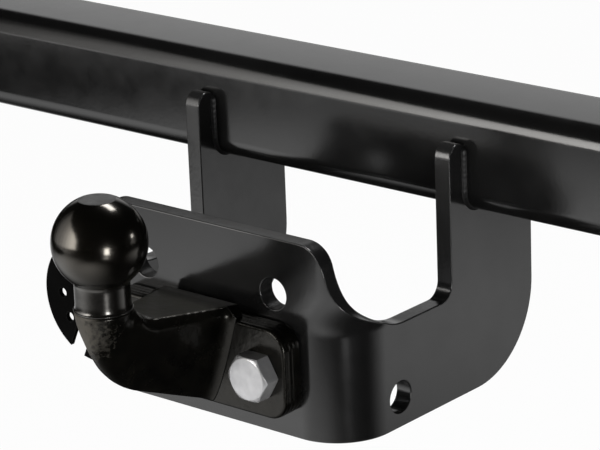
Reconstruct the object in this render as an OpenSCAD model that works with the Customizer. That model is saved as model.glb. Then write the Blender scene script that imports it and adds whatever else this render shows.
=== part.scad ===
// Fixed towbar: a square cross beam, a bent ball bracket and a forged flange ball.
// Origin at the centre of the ball. X runs along the beam, Y towards the vehicle, Z up.

/* [Ball] */
// Diameter of the coupling ball
ball_d = 50; // [48:0.5:52]
// Diameter of the flat on top of the ball
ball_flat_d = 19; // [14:0.5:24]
// Diameter of the neck below the ball
neck_d = 29; // [27:0.5:30]
// Height of the ball centre above the lower row of bolt holes
ball_rise = 83; // [78:1:95]
// Distance from the ball centre to the face of the bracket
ball_reach = 80; // [76:1:90]
// Distance from the ball centre down to the ring below the neck
collar_drop = 36; // [35:0.5:38]
// Step from the neck out to the forged arm
collar_step = 0.8; // [0.5:0.1:1.2]

/* [Forged arm and flange] */
// Width of the flange
flange_w = 126; // [122:1:132]
// Height of the flange
flange_h = 50; // [48:1:54]
// Thickness of the flange
flange_t = 14; // [12:0.5:16]
// Corner radius of the flange
flange_r = 12; // [8:1:14]
// Height of the flange centre above its bolt holes
flange_lift = 1; // [0:0.5:2]
// Length of the outer curve of the arm, front to back
elbow_l = 62; // [58:1:64]
// Height of the outer curve of the arm
elbow_h = 57; // [54:1:58]
// Angle that the outer curve turns through
elbow_turn = 68; // [64:1:70]
// Height of the flat on top of the arm above the lower bolt row, at the neck
arm_top_neck = 38; // [37:0.5:39]
// Height of the same flat at the flange
arm_top_flange = 32; // [31:0.5:34]
// Half width of the flat on top of the arm, at the flange
arm_flat_half = 26.5; // [24:0.5:27]
// Half width of the arm below its bevel, at the flange
arm_side_half = 28.5; // [27.5:0.5:30]
// Height of the bevel below the flat
arm_bevel = 5; // [4:0.5:6]
// Half width of the underside of the arm, at the flange
arm_under_half = 7; // [5:1:10]
// Radius of the blend from the arm to the flange
arm_blend = 5; // [4:0.5:6]

/* [Ball bracket] */
// Width over the two cheeks
bracket_w = 187; // [180:1:200]
// Thickness of the bracket plate
plate_t = 10; // [8:0.5:12]
// Height of the plate above the lower row of bolt holes
plate_above = 71; // [66:1:76]
// Depth of the plate below the lower row of bolt holes
plate_below = 38; // [34:1:42]
// Outer radius of the bends at the bottom
bend_r = 32; // [28:1:34]
// Outer radius that the bends tighten to in the ears above
ear_bend_r = 16; // [14:1:20]
// Distance between the holes of a row
hole_pitch = 90; // [88:0.5:92]
// Distance between the two rows
row_pitch = 40; // [38:1:44]
// Diameter of the bolt holes and of the cheek holes
hole_d = 17.5; // [17:0.5:18]
// Height of the valley between ear and finger above the lower row
valley_h = 20; // [18:1:24]
// Depth of the finger in front of the beam
finger_w = 12.5; // [10:0.5:15]
// Height of the finger above the underside of the beam
finger_h = 39.5; // [36:0.5:42]
// Distance from the end of the bend back to the cheek hole
cheek_hole_gap = 11.5; // [11.5:0.5:16]
// Distance of the cheek hole below the lower row
cheek_hole_drop = 21; // [18:0.5:22]
// Radius of the lower back corner of the cheek
cheek_r = 50; // [44:1:54]

/* [Cross beam] */
// Outer width and height of the beam
beam_size = 60; // [50:1:70]
// Wall thickness of the beam
beam_wall = 4; // [3:0.5:6]
// Outer corner radius of the beam
beam_r = 12; // [10:1:14]
// Length of the beam
beam_l = 1000; // [800:10:1200]
// Distance from the bracket face back to the face of the beam
beam_y = 102; // [95:1:110]
// Height of the underside of the beam above the lower row
beam_lift = 65; // [60:1:70]

/* [End plates and side arms] */
// Thickness of the plates at the beam ends and of the side arms
side_t = 8; // [6:0.5:10]
// Width of an end plate
end_w = 84; // [80:1:90]
// Height of an end plate
end_h = 130; // [124:1:140]
// Spacing of the end plate bolts across the plate
end_pitch_y = 44; // [40:1:48]
// Spacing of the end plate bolts up the plate
end_pitch_z = 98; // [92:1:104]
// Length of a side arm
arm_l = 330; // [300:10:400]
// Height of a side arm along the chassis
arm_h = 80; // [70:1:90]
// Spacing of the three chassis holes
chassis_pitch = 80; // [70:1:90]
// Diameter of the chassis holes and of the end plate holes
chassis_hole_d = 13; // [12.5:0.5:14]

/* [Socket plate] */
// Diameter of the disc that the electrical socket is screwed to
disc_d = 75.5; // [72:0.5:78]
// Thickness of the socket plate
disc_t = 3; // [2:0.5:4]
// Distance from the bracket face back to the disc
disc_y = 58; // [56:0.5:62]
// Distance from the side of the cheek out to the centre of the disc
disc_out = 51.3; // [48:0.1:54]
// Diameter of the cable hole
cable_d = 28; // [24:1:30]
// Width of the cable slot
slot_w = 11; // [9:0.5:12]
// Angle of the cable slot from straight down
slot_angle = 24; // [15:1:35]
// Radius of the circle that the socket screws sit on
socket_hole_circle_r = 24.2; // [23:0.1:26]
// Diameter of the holes for the socket screws
socket_hole_d = 5.5; // [5:0.1:6]

/* [Hidden] */
$fn = 96;
// Overlap that joins two solids of one piece
join = 0.5;
// Distance that a cutting solid runs past what it cuts
cut = 1;
// Heights and distances from the ball centre
row_z = -ball_rise;
upper_row_z = row_z + row_pitch;
plate_top = row_z + plate_above;
plate_bottom = row_z - plate_below;
valley_z = row_z + valley_h;
face_y = ball_reach;
flange_y = face_y - flange_t;
beam_front = face_y + beam_y;
beam_back = beam_front + beam_size;
beam_bottom = row_z + beam_lift;
beam_mid_y = beam_front + beam_size / 2;
beam_mid_z = beam_bottom + beam_size / 2;
cheek_x = bracket_w / 2;
hole_z = row_z - cheek_hole_drop;
hole_y = face_y + bend_r + cheek_hole_gap;
// Bends: half width of the flat plate, and the height band in which the radius changes
flat_gap = 1.5;
change_above_valley = 5;
change_below_top = 16;
flat_half = cheek_x - bend_r - flat_gap;
bend_change_low = valley_z + change_above_valley;
bend_change_high = plate_top - change_below_top;
// Unrolled edge of the ear: corner radius, angle of its flank, and the two radii into the valley
ear_inset = 27.5;
ear_half = cheek_x - ear_inset;
ear_r = 12;
ear_angle = 71;
foot_angle = 35;
foot_r = 24;
valley_r = 50;
bend_columns = 28;
bend_rows = 12;
// Cheek outline
finger_front = beam_front - finger_w;
finger_top = beam_bottom + finger_h;
finger_r = 7.5;
crotch_r = 9;
cheek_back = beam_back - join;
// Forged arm: rings of points swept from the neck to the flange
body_r = neck_d / 2 + collar_step;
collar_z = -collar_drop;
arm_above_edge = 1;
arm_bottom_z = row_z + flange_lift - flange_h / 2 + arm_above_edge;
arm_sunk = 9;
arm_end = flange_y + arm_sunk;
arm_rear_edge = 1;
arm_inner_r = 9;
// Angle that the inner curve below the neck turns through
inner_turn = 84;
neck_sunk = 3;
arm_half_points = 12;
keel_half = 1.5;
keel_at = 0.4;
flat_at = 0.5;
elbow_steps = 10;
blend_steps = 5;
run_steps = 3;
// Fasteners: thread, across flats, head height, nut height, washer outside, washer thickness
m16 = [16, 24, 10, 14.8, 30, 3];
m12 = [12, 18, 7.5, 10.8, 24, 2.5];
m10 = [10, 16, 6.4, 8.4, 20, 2];
bolt_end = 3;
bolt_tip = 1.5;
penny_d = 23;
penny_t = 2.5;
washer_gap = 0.5;
// Turned face of a head or nut, as a share of its size across flats
turned_face = 0.94;
// Socket plate
disc_x = -cheek_x - disc_out;
disc_face = face_y + disc_y;
foot_h = 44;
foot_gap = 1;
foot_start = face_y + bend_r + foot_gap;
fold_r = 4;
// End plates and side arms: corner radii, and the distance from the end plate to the first hole
end_r = 8;
side_arm_r = 20;
first_hole = 48;
arm_front = beam_mid_y - end_w / 2;
chassis_z = beam_mid_z + end_h / 2 - arm_h / 2;
chassis_first = beam_mid_y + end_w / 2 + first_hole;
// Fillet welds
weld_size = 5;
finger_weld = 3;
weld_stop = 3;

paint = "#2b2b2c";
zinc = "#c8c9cb";
forged = "#24241f";

// Rounded rectangle in the XY plane, centred
module round_rect(w, h, r) {
    square([w - 2 * r, h], center = true);
    square([w, h - 2 * r], center = true);
    for (x = [-1, 1], y = [-1, 1])
        translate([x * (w / 2 - r), y * (h / 2 - r)]) circle(r);
}

// Turns a drawing of Y and Z into a plate that is t thick in X, from x
module plate_yz(x, t) {
    translate([x, 0, 0]) rotate([90, 0, 90]) linear_extrude(t) children();
}

// Turns a drawing of X and Z into a plate that is t thick in Y, from y
module plate_xz(y, t) {
    translate([0, y + t, 0]) rotate([90, 0, 0]) linear_extrude(t) children();
}

// Square tube outline, drawn in from its outside
module beam_outline(inset) {
    round_rect(beam_size - 2 * inset, beam_size - 2 * inset, beam_r - inset);
}

module cross_beam() {
    color(paint) translate([0, beam_mid_y, beam_mid_z])
        plate_yz(-beam_l / 2, beam_l) difference() {
            beam_outline(0);
            beam_outline(beam_wall);
        }
}

module end_holes() {
    for (y = [-1, 1], z = [-1, 1])
        translate([y * end_pitch_y / 2, z * end_pitch_z / 2]) circle(d = chassis_hole_d);
}

module end_plate(side) {
    x = side > 0 ? beam_l / 2 : -beam_l / 2 - side_t;
    color(paint) translate([0, beam_mid_y, beam_mid_z]) plate_yz(x, side_t) difference() {
        round_rect(end_w, end_h, end_r);
        end_holes();
    }
}

// A square fillet all round the end of the beam
module end_weld(side) {
    steps = [[0, weld_size], [weld_size / 2, weld_size / 2]];
    color(paint) for (s = steps) {
        x = side > 0 ? beam_l / 2 - s[0] - weld_size / 2 : -beam_l / 2 + s[0];
        translate([0, beam_mid_y, beam_mid_z]) plate_yz(x, weld_size / 2) difference() {
            round_rect(beam_size + 2 * s[1], beam_size + 2 * s[1], beam_r + s[1]);
            beam_outline(0);
        }
    }
}

module side_arm(side) {
    x = side > 0 ? beam_l / 2 + side_t : -beam_l / 2 - 2 * side_t;
    color(paint) difference() {
        plate_yz(x, side_t) {
            translate([beam_mid_y, beam_mid_z]) round_rect(end_w, end_h, end_r);
            translate([arm_front + arm_l / 2, chassis_z]) round_rect(arm_l, arm_h, side_arm_r);
        }
        translate([0, beam_mid_y, beam_mid_z]) plate_yz(x - cut, side_t + 2 * cut) end_holes();
        for (i = [0 : 2])
            translate([x - cut, chassis_first + i * chassis_pitch, chassis_z]) rotate([0, 90, 0])
                cylinder(d = chassis_hole_d, h = side_t + 2 * cut);
    }
}

// The fasteners are drawn along Z, with the seat of the head at z = 0

// Hexagon with its corners turned off at 30 degrees on the outer face
module hex_head(m, h) {
    corner = m[1] / 2 / cos(30) + cut;
    face = m[1] / 2 * turned_face;
    intersection() {
        cylinder(d = m[1] / cos(30), h = h, $fn = 6);
        rotate_extrude() polygon([[0, 0], [corner, 0], [corner, h - (corner - face) * tan(30)],
            [face, h], [0, h]]);
    }
}

// Hex bolt: the head above z = 0, the shank below it
module hex_bolt(m, grip) {
    hex_head(m, m[2]);
    translate([0, 0, -grip]) cylinder(d = m[0], h = grip + join);
    translate([0, 0, -grip - bolt_tip]) cylinder(d1 = m[0] - 2 * bolt_tip, d2 = m[0], h = bolt_tip);
}

module washer(m, d, t) {
    difference() {
        cylinder(d = d, h = t);
        translate([0, 0, -cut]) cylinder(d = m[0] + 2 * washer_gap, h = t + 2 * cut);
    }
}

// Nut: its turned face points down, away from the head of its bolt
module hex_nut(m) {
    difference() {
        translate([0, 0, m[3]]) mirror([0, 0, 1]) hex_head(m, m[3]);
        translate([0, 0, -cut]) cylinder(d = m[0], h = m[3] + 2 * cut);
    }
}

// Places children at the two bolts of the ball: local Z points out to the rear of the vehicle
module at_ball_bolts(y) {
    for (x = [-1, 1]) translate([x * hole_pitch / 2, y, row_z]) rotate([90, 0, 0]) children();
}

// Places children at the four bolts of an end plate: local Z points inwards along the beam
module at_end_bolts(side, x) {
    for (y = [-1, 1], z = [-1, 1])
        translate([side * x, beam_mid_y + y * end_pitch_y / 2, beam_mid_z + z * end_pitch_z / 2])
            rotate([0, -90 * side, 0]) children();
}

module ball_bolts() {
    grip = flange_t + plate_t + m16[5] + m16[3] + bolt_end;
    color(zinc) at_ball_bolts(flange_y) hex_bolt(m16, grip);
}

module ball_washers() {
    color(zinc) at_ball_bolts(face_y + plate_t + m16[5]) washer(m16, m16[4], m16[5]);
}

module ball_nuts() {
    color(zinc) at_ball_bolts(face_y + plate_t + m16[5] + m16[3]) hex_nut(m16);
}

module side_bolts(side) {
    grip = 2 * side_t + m12[5] + m12[3] + bolt_end;
    color(zinc) at_end_bolts(side, beam_l / 2) hex_bolt(m12, grip);
}

module side_washers(side) {
    color(zinc) at_end_bolts(side, beam_l / 2 + 2 * side_t + m12[5]) washer(m12, m12[4], m12[5]);
}

module side_nuts(side) {
    color(zinc) at_end_bolts(side, beam_l / 2 + 2 * side_t + m12[5] + m12[3]) hex_nut(m12);
}

// Outer bend radius at a height: wide at the bottom, tight in the ears
function bend_at(z) = let (t = (z - bend_change_low) / (bend_change_high - bend_change_low),
    c = min(1, max(0, t))) bend_r + (ear_bend_r - bend_r) * c * c * (3 - 2 * c);

// Height of the unrolled edge at a distance s from the middle of the plate
ear_end = ear_half + ear_r * sin(ear_angle);
ear_end_z = plate_top - ear_r * (1 - cos(ear_angle));
foot_z = valley_z + valley_r * (1 - cos(foot_angle));
flank_z = foot_z + foot_r * (cos(foot_angle) - cos(ear_angle));
flank_end = ear_end + (ear_end_z - flank_z) / tan(ear_angle);
foot_end = flank_end + foot_r * (sin(ear_angle) - sin(foot_angle));
valley_end = foot_end + valley_r * sin(foot_angle);
bend_over = 1;
bend_end = cheek_x - bend_r + (bend_r - plate_t / 2) * PI / 2 + bend_over;
function edge_z(s) =
    s < ear_half ? plate_top :
    s < ear_end ? plate_top - ear_r + sqrt(pow(ear_r, 2) - pow(s - ear_half, 2)) :
    s < flank_end ? ear_end_z - (s - ear_end) * tan(ear_angle) :
    s < foot_end ? foot_z + foot_r * cos(foot_angle)
        - sqrt(pow(foot_r, 2) - pow(foot_end + foot_r * sin(foot_angle) - s, 2)) :
    s < valley_end ? valley_z + valley_r - sqrt(pow(valley_r, 2) - pow(valley_end - s, 2)) :
    valley_z;

// Point of the bent plate at an unrolled distance s and a height z, at a depth d from outside
function bent(s, z, d) = let (r = bend_at(z), x0 = cheek_x - r, mid = r - plate_t / 2,
    a = (s - x0) / mid * 180 / PI)
    a <= 0 ? [s, face_y + d, z] :
    a <= 90 ? [x0 + (r - d) * sin(a), face_y + r - (r - d) * cos(a), z] :
    [cheek_x - d, face_y + r + (a - 90) * mid * PI / 180, z];

// The bend and the ear: a grid of columns in s and rows in z
module bend(side) {
    rows = [for (d = [0, plate_t], i = [0 : bend_columns - 1], j = [0 : bend_rows - 1])
        let (s = flat_half + (bend_end - flat_half) * i / (bend_columns - 1))
        bent(s, plate_bottom + (edge_z(s) - plate_bottom) * j / (bend_rows - 1), d)];
    half = bend_columns * bend_rows;
    function at(i, j) = i * bend_rows + j;
    top = bend_rows - 1;
    last = bend_columns - 1;
    faces = [
        for (i = [0 : last - 1], j = [0 : top - 1]) each [
            [at(i, j), at(i, j + 1), at(i + 1, j + 1)], [at(i, j), at(i + 1, j + 1), at(i + 1, j)],
            [half + at(i, j), half + at(i + 1, j + 1), half + at(i, j + 1)],
            [half + at(i, j), half + at(i + 1, j), half + at(i + 1, j + 1)]],
        for (i = [0 : last - 1]) each [
            [at(i, 0), at(i + 1, 0), half + at(i + 1, 0)], [at(i, 0), half + at(i + 1, 0), half + at(i, 0)],
            [at(i, top), half + at(i + 1, top), at(i + 1, top)],
            [at(i, top), half + at(i, top), half + at(i + 1, top)]],
        for (j = [0 : top - 1]) each [
            [at(0, j), half + at(0, j + 1), at(0, j + 1)], [at(0, j), half + at(0, j), half + at(0, j + 1)],
            [at(last, j), at(last, j + 1), half + at(last, j + 1)],
            [at(last, j), half + at(last, j + 1), half + at(last, j)]]];
    mirror([side > 0 ? 0 : 1, 0, 0]) polyhedron(rows, faces);
}

bend_y = face_y + bend_r + bend_over;
valley_y = bend_y + valley_end - bend_end;

module cheek_outline() {
    difference() {
        union() {
            translate([bend_y, plate_bottom])
                square([cheek_back - bend_y, valley_z - plate_bottom]);
            difference() {
                translate([bend_y, valley_z - join]) square([valley_y - bend_y, valley_r / 4]);
                translate([valley_y, valley_z + valley_r]) circle(valley_r, $fn = 192);
            }
            translate([finger_front - crotch_r, valley_z - join])
                square([cheek_back - finger_front + crotch_r, beam_bottom - valley_z + join]);
            intersection() {
                translate([finger_front, beam_bottom - join]) square([finger_w, finger_h + join]);
                union() {
                    translate([finger_front + finger_r, finger_top - finger_r]) circle(finger_r);
                    translate([finger_front, beam_bottom - join])
                        square([finger_w, finger_h - finger_r + join]);
                }
            }
        }
        translate([finger_front - crotch_r, valley_z + crotch_r]) circle(crotch_r);
        translate([finger_front - 2 * crotch_r, valley_z + crotch_r])
            square([2 * crotch_r, beam_size]);
        translate([cheek_back - cheek_r, plate_bottom - cut]) difference() {
            square([cheek_r + cut, cheek_r + cut]);
            translate([0, cheek_r + cut]) circle(cheek_r);
        }
    }
}

module ball_bracket() {
    color(paint) {
        difference() {
            translate([-flat_half, face_y, plate_bottom])
                cube([2 * flat_half, plate_t, plate_top - plate_bottom]);
            for (x = [-1, 1], z = [row_z, upper_row_z])
                translate([x * hole_pitch / 2, face_y - cut, z]) rotate([-90, 0, 0])
                    cylinder(d = hole_d, h = plate_t + 2 * cut);
        }
        for (side = [-1, 1]) {
            bend(side);
            difference() {
                plate_yz(side > 0 ? cheek_x - plate_t : -cheek_x, plate_t) cheek_outline();
                translate([side * (cheek_x + cut), hole_y, hole_z]) rotate([0, -90 * side, 0])
                    cylinder(d = hole_d, h = plate_t + 2 * cut);
            }
        }
    }
}

// Ring of points round the arm: o and n are its outer and inner ends in Y and Z, w is its half width,
// top and under are the half widths of its flats. keel and flat run from 0, round, to 1, the forged
// shape of the underside and of the top
function arm_ring(o, n, w, top, under, keel, flat) =
    let (k = arm_half_points, drop = 2 * arm_bevel / norm(n - o),
        half = [for (i = [0 : k])
            i == 0 ? [0, -1] :
            i < k - 2 ? let (u = (i - 1) / (k - 4), a = -90 + 140 * i / (k - 3))
                [(1 - keel) * w * cos(a) + keel * (under + (w - under) * u),
                 (1 - keel) * sin(a) + keel * (-1 + (2 - drop) * pow(u, 1.35))] :
            let (u = k - i, a = 90 - 20 * u)
                [(1 - flat) * w * cos(a) + flat * top * u / 2, (1 - flat) * sin(a) + flat]])
    [for (i = [0 : 2 * k - 1]) let (q = half[i <= k ? i : 2 * k - i], v = (q[1] + 1) / 2,
        c = o + (n - o) * v)
        [i <= k ? q[0] : -q[0], c[0], c[1]]];

// Side view of the arm: its top, and the half widths of its side and of the flat
function elbow_at(a) = [elbow_l * (1 - cos(a)) - body_r, collar_z - elbow_h * sin(a)];
elbow_end = elbow_at(elbow_turn);
arm_start = body_r + arm_inner_r;
function arm_part(y) = max(0, y - body_r) / (arm_end - body_r);
function arm_top(y) = row_z + arm_top_neck - arm_part(y) * (arm_top_neck - arm_top_flange);
function arm_side(y) = body_r + arm_part(y) * (arm_side_half - body_r);
function arm_flat(y) = body_r - arm_bevel + arm_part(y) * (arm_flat_half - body_r + arm_bevel);
function ease(t) = let (c = min(1, t)) c * c * (3 - 2 * c);

// Ring of the elbow: t runs from the collar to the end of the outer curve
function elbow_ring(t) =
    let (b = inner_turn * t, y = body_r + arm_inner_r * (1 - cos(b)),
        n = [y, collar_z + (arm_top(arm_start) + arm_inner_r - collar_z) * t - arm_inner_r * sin(b)])
    arm_ring(elbow_at(elbow_turn * t), n, arm_side(y), arm_flat(y), keel_half,
        ease(t / keel_at), ease(t / flat_at));

// Ring of the straight run to the flange, widened by the blend
function run_ring(t, blend) =
    let (y = arm_start + (flange_y - arm_start) * t, foot = [flange_y, arm_bottom_z])
    arm_ring(elbow_end + (foot - elbow_end) * t, [y, arm_top(y)], arm_side(y) + blend,
        arm_flat(y), keel_half + (arm_under_half - keel_half) * t + blend, 1, 1);

// Ring behind the face of the flange, cut back at the rear edge
function end_ring(y, cut) =
    arm_ring([y, arm_bottom_z], [y, arm_top(y) - cut], arm_side(y) - cut, arm_flat(y) - cut,
        arm_under_half, 1, 1);

// Skin over rings of equal length, closed at both ends
module skin(rings) {
    n = len(rings[0]);
    last = len(rings) - 1;
    faces = [
        [for (j = [n - 1 : -1 : 0]) j],
        for (i = [0 : last - 1], j = [0 : n - 1]) let (a = i * n + j, b = i * n + (j + 1) % n)
            each [[a, b + n, a + n], [a, b, b + n]],
        [for (j = [0 : n - 1]) last * n + j]];
    polyhedron([for (ring = rings) each ring], faces);
}

module arm() {
    run = flange_y - arm_start;
    skin([
        for (i = [0 : elbow_steps]) elbow_ring(i / elbow_steps),
        for (i = [1 : run_steps]) run_ring(i / run_steps * (1 - arm_blend / run), 0),
        for (i = [1 : blend_steps]) let (a = 90 * i / blend_steps)
            run_ring(1 - arm_blend / run * (1 - sin(a)), arm_blend * (1 - cos(a))),
        end_ring(flange_y + arm_rear_edge, 0),
        end_ring(arm_end - arm_rear_edge, 0),
        end_ring(arm_end, arm_rear_edge)]);
}

module tow_ball() {
    color(forged) {
        rotate_extrude() intersection() {
            circle(d = ball_d);
            translate([0, -ball_d])
                square([ball_d, ball_d + sqrt(pow(ball_d / 2, 2) - pow(ball_flat_d / 2, 2))]);
        }
        translate([0, 0, collar_z - neck_sunk])
            cylinder(d = neck_d, h = collar_drop + neck_sunk - ball_d / 4);
        arm();
        translate([0, 0, row_z + flange_lift]) plate_xz(flange_y, flange_t) difference() {
            round_rect(flange_w, flange_h, flange_r);
            for (x = [-1, 1]) translate([x * hole_pitch / 2, -flange_lift]) circle(d = hole_d);
        }
    }
}

// The disc for the socket, folded to a foot that lies on the left cheek
module socket_plate() {
    color(paint) {
        translate([disc_x, 0, hole_z]) plate_xz(disc_face, disc_t) difference() {
            union() {
                circle(d = disc_d);
                translate([0, -foot_h / 2]) square([disc_out - fold_r, foot_h]);
            }
            circle(d = cable_d);
            rotate(-slot_angle) translate([-slot_w / 2, -disc_d]) square([slot_w, disc_d]);
            for (a = [60 : 120 : 300], b = [0, 36])
                rotate(a + b) translate([socket_hole_circle_r, 0]) circle(d = socket_hole_d);
        }
        difference() {
            translate([-cheek_x - disc_t, foot_start, hole_z - foot_h / 2])
                cube([disc_t, disc_face + disc_t - fold_r - foot_start, foot_h]);
            translate([-cheek_x - disc_t - cut, hole_y, hole_z]) rotate([0, 90, 0])
                cylinder(d = m10[0] + 2 * washer_gap, h = disc_t + 2 * cut);
        }
        translate([-cheek_x - fold_r, disc_face + disc_t - fold_r, hole_z - foot_h / 2])
            intersection() {
                difference() {
                    cylinder(r = fold_r, h = foot_h);
                    translate([0, 0, -cut]) cylinder(r = fold_r - disc_t, h = foot_h + 2 * cut);
                }
                cube([fold_r, fold_r, foot_h]);
            }
    }
}

// Places children on the cheek bolt of the socket plate: local Z points away from the cheek
module at_cheek_bolt(x) {
    translate([x, hole_y, hole_z]) rotate([0, -90, 0]) children();
}

module socket_bolt() {
    grip = disc_t + plate_t + m10[5] + penny_t + m10[3] + bolt_end;
    color(zinc) at_cheek_bolt(-cheek_x - disc_t - m10[5]) hex_bolt(m10, grip);
}

module socket_washers() {
    color(zinc) {
        at_cheek_bolt(-cheek_x - disc_t) washer(m10, m10[4], m10[5]);
        at_cheek_bolt(-cheek_x + plate_t + penny_t) washer(m10, penny_d, penny_t);
    }
}

module socket_nut() {
    color(zinc) at_cheek_bolt(-cheek_x + plate_t + penny_t + m10[3]) hex_nut(m10);
}

// Fillet beads on both sides of a cheek: under the beam, and up the finger
module bracket_weld(side) {
    under = beam_size - 2 * beam_r;
    up = finger_h - beam_r - weld_stop;
    for (x = [cheek_x, cheek_x - plate_t]) {
        out = side * (x == cheek_x ? 1 : -1);
        color(paint) translate([side * x, beam_front + beam_r + under, beam_bottom])
            rotate([90, 0, 0]) linear_extrude(under)
                polygon([[0, 0], [out * weld_size, 0], [0, -weld_size]]);
        color(paint) translate([side * x, beam_front, beam_bottom + beam_r]) linear_extrude(up)
            polygon([[0, 0], [out * finger_weld, 0], [0, -finger_weld]]);
    }
}

cross_beam();
end_plate(-1);  // end_plate_left
end_plate(1);  // end_plate_right
end_weld(-1);  // end_weld_left
end_weld(1);  // end_weld_right
side_arm(-1);  // side_arm_left
side_arm(1);  // side_arm_right
side_bolts(-1);  // side_bolts_left
side_bolts(1);  // side_bolts_right
side_washers(-1);  // side_washers_left
side_washers(1);  // side_washers_right
side_nuts(-1);  // side_nuts_left
side_nuts(1);  // side_nuts_right
ball_bracket();
bracket_weld(-1);  // bracket_weld_left
bracket_weld(1);  // bracket_weld_right
tow_ball();
ball_bolts();
ball_washers();
ball_nuts();
socket_plate();
socket_bolt();
socket_washers();
socket_nut();
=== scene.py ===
"""Looks of a fixed towbar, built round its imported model. Lengths are metres and +Y points forwards."""
import math
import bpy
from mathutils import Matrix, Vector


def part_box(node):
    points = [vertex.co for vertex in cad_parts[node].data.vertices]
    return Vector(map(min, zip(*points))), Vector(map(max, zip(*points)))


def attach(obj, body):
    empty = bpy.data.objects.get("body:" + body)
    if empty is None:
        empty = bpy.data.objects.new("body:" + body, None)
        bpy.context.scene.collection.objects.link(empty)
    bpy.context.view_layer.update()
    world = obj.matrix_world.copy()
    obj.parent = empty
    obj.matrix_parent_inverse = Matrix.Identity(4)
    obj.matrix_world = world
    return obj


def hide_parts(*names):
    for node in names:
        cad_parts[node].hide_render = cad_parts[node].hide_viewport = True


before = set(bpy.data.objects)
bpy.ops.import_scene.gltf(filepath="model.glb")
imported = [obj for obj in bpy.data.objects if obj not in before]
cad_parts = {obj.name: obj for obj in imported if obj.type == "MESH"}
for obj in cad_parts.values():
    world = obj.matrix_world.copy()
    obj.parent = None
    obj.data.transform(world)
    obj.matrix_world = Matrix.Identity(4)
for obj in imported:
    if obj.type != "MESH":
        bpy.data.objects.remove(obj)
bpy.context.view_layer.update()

from types import SimpleNamespace

import bmesh
import bpy
from mathutils import Matrix, Vector, noise

SIDES = ((-1, "left"), (1, "right"))

# A distance too small to see
HAIR = 0.0001

# Ball and neck
BALL_R = 0.025
BALL_FLAT_R = 0.0095
BALL_FLAT_EDGE = 0.0005
BALL_STEPS = 144
NECK_R = 0.0145
NECK_FILLET = 0.002
COLLAR_R = 0.0153
COLLAR_Z = -0.036
RING_R = 0.0157
RING_Z = -0.0354
RING_LIP = 0.0003
FLARE_H = 0.0045

# Forged arm and flange
ROW_Z = -0.083
ROW_PITCH = 0.040
HOLE_PITCH = 0.090
HOLE_R = 0.00875
FLANGE_W = 0.126
FLANGE_H = 0.050
FLANGE_T = 0.014
FLANGE_R = 0.012
FLANGE_EDGE = 0.0018
FLANGE_Z = ROW_Z + 0.001
ELBOW_L = 0.062
ELBOW_H = 0.057
ELBOW_TURN = 68
ARM_TOP = (0.038, 0.032)
ARM_FLAT_HALF = 0.0265
ARM_SIDE_HALF = 0.0285
ARM_BEVEL = 0.005
ARM_UNDER_HALF = 0.007
ARM_BLEND = 0.005
ARM_BLEND_TOP = 0.4
ARM_INNER_R = 0.009
ARM_INNER_TURN = 84
ARM_START = COLLAR_R + ARM_INNER_R
FLANGE_Y = 0.066
ARM_END = FLANGE_Y + 0.009
ARM_BOTTOM = FLANGE_Z - FLANGE_H / 2 + 0.001
KEEL_HALF = 0.0015
ARM_REAR_EDGE = 0.001
ARM_HELD = 0.0002
ELBOW_STEPS = 40
RUN_STEPS = 70
BLEND_STEPS = 8
ARM_SMOOTHED = 3
TOP_FACE = 0.95

# Section of the arm: angles of its round form where the keel ends and on both sides of the bevel, the power
# of its side's curve, the shares of the elbow by which keel and flat are whole, and the steps along each part
KEEL_END = -74.4
BEVEL_LOW = 50
BEVEL_HIGH = 62
SIDE_POWER = 1.35
KEEL_WHOLE = 0.4
FLAT_WHOLE = 0.5
KEEL_STEPS, SIDE_STEPS, BEVEL_STEPS, FLAT_STEPS = 4, 24, 6, 12

# Forging marks. Die seams are (middle, height, half width), and unevenness is (pitch per metre, depth)
DIE_SEAMS = ((0.0028, 0.00016, 0.0014), (-0.0004, 0.00012, 0.0014), (-0.0034, 0.00008, 0.0012))
UNEVEN = ((140, 0.00012), (420, 0.00005))
MARKS_Y = (0.032, 0.058)
MARKS_START = 0.0004
MARK_SLANT = 1.3
MARK_DEPTH = 0.00016
MARK_PITCH = 0.0045
# Forging scale with a painted sheen: a duller patch below the neck whose light tone stands in for the
# window's reflection
SCALE_AND_SHEEN_AT = (-0.008, -0.010, -0.044)
SCALE_AND_SHEEN_FADE = (0.010, 0.020)
SCALE_AND_SHEEN_BROKEN = 0.006
SCALE_AND_SHEEN_ROUGHNESS = 0.55

# Bent bracket. Above the valley its bend opens and starts further out, so that the ears stay almost flat
PLATE_T = 0.010
FACE_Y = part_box("ball_bracket")[0].y
CHEEK_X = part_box("ball_bracket")[1].x
PLATE_TOP = ROW_Z + 0.071
PLATE_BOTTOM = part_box("ball_bracket")[0].z
BEND_R = 0.032
BEND_MID = BEND_R - PLATE_T / 2
EAR_BEND_R = 0.060
EAR_BEND_SHIFT = 0.0133
EAR_BEND_HEIGHTS = (-0.0004, 0.0325)
EAR_BEND_FADE = (-0.010, 0.008)
BEND_COLUMNS = 24
COLUMNS_PAST_BEND = 4
BEND_ROWS = 26
EAR_INSET = 0.0299
EAR_R = 0.0156
EAR_ANGLE = 76
FOOT_R = 0.0555
FOOT_ANGLE = 37
VALLEY_Z = ROW_Z + 0.0202
VALLEY_R = 0.036
CROTCH_R = 0.009
FINGER_R = 0.0075
CHEEK_R = 0.050
CHEEK_BACK_GAP = 0.0005
CHEEK_HOLE = (0.1235, ROW_Z - 0.021)
CUT_EDGE = 0.0007

# Cosines between a face's own normal and its rounded one where edge wear starts and where it is full
WEAR_COSINES = (0.99, 0.75)

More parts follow.
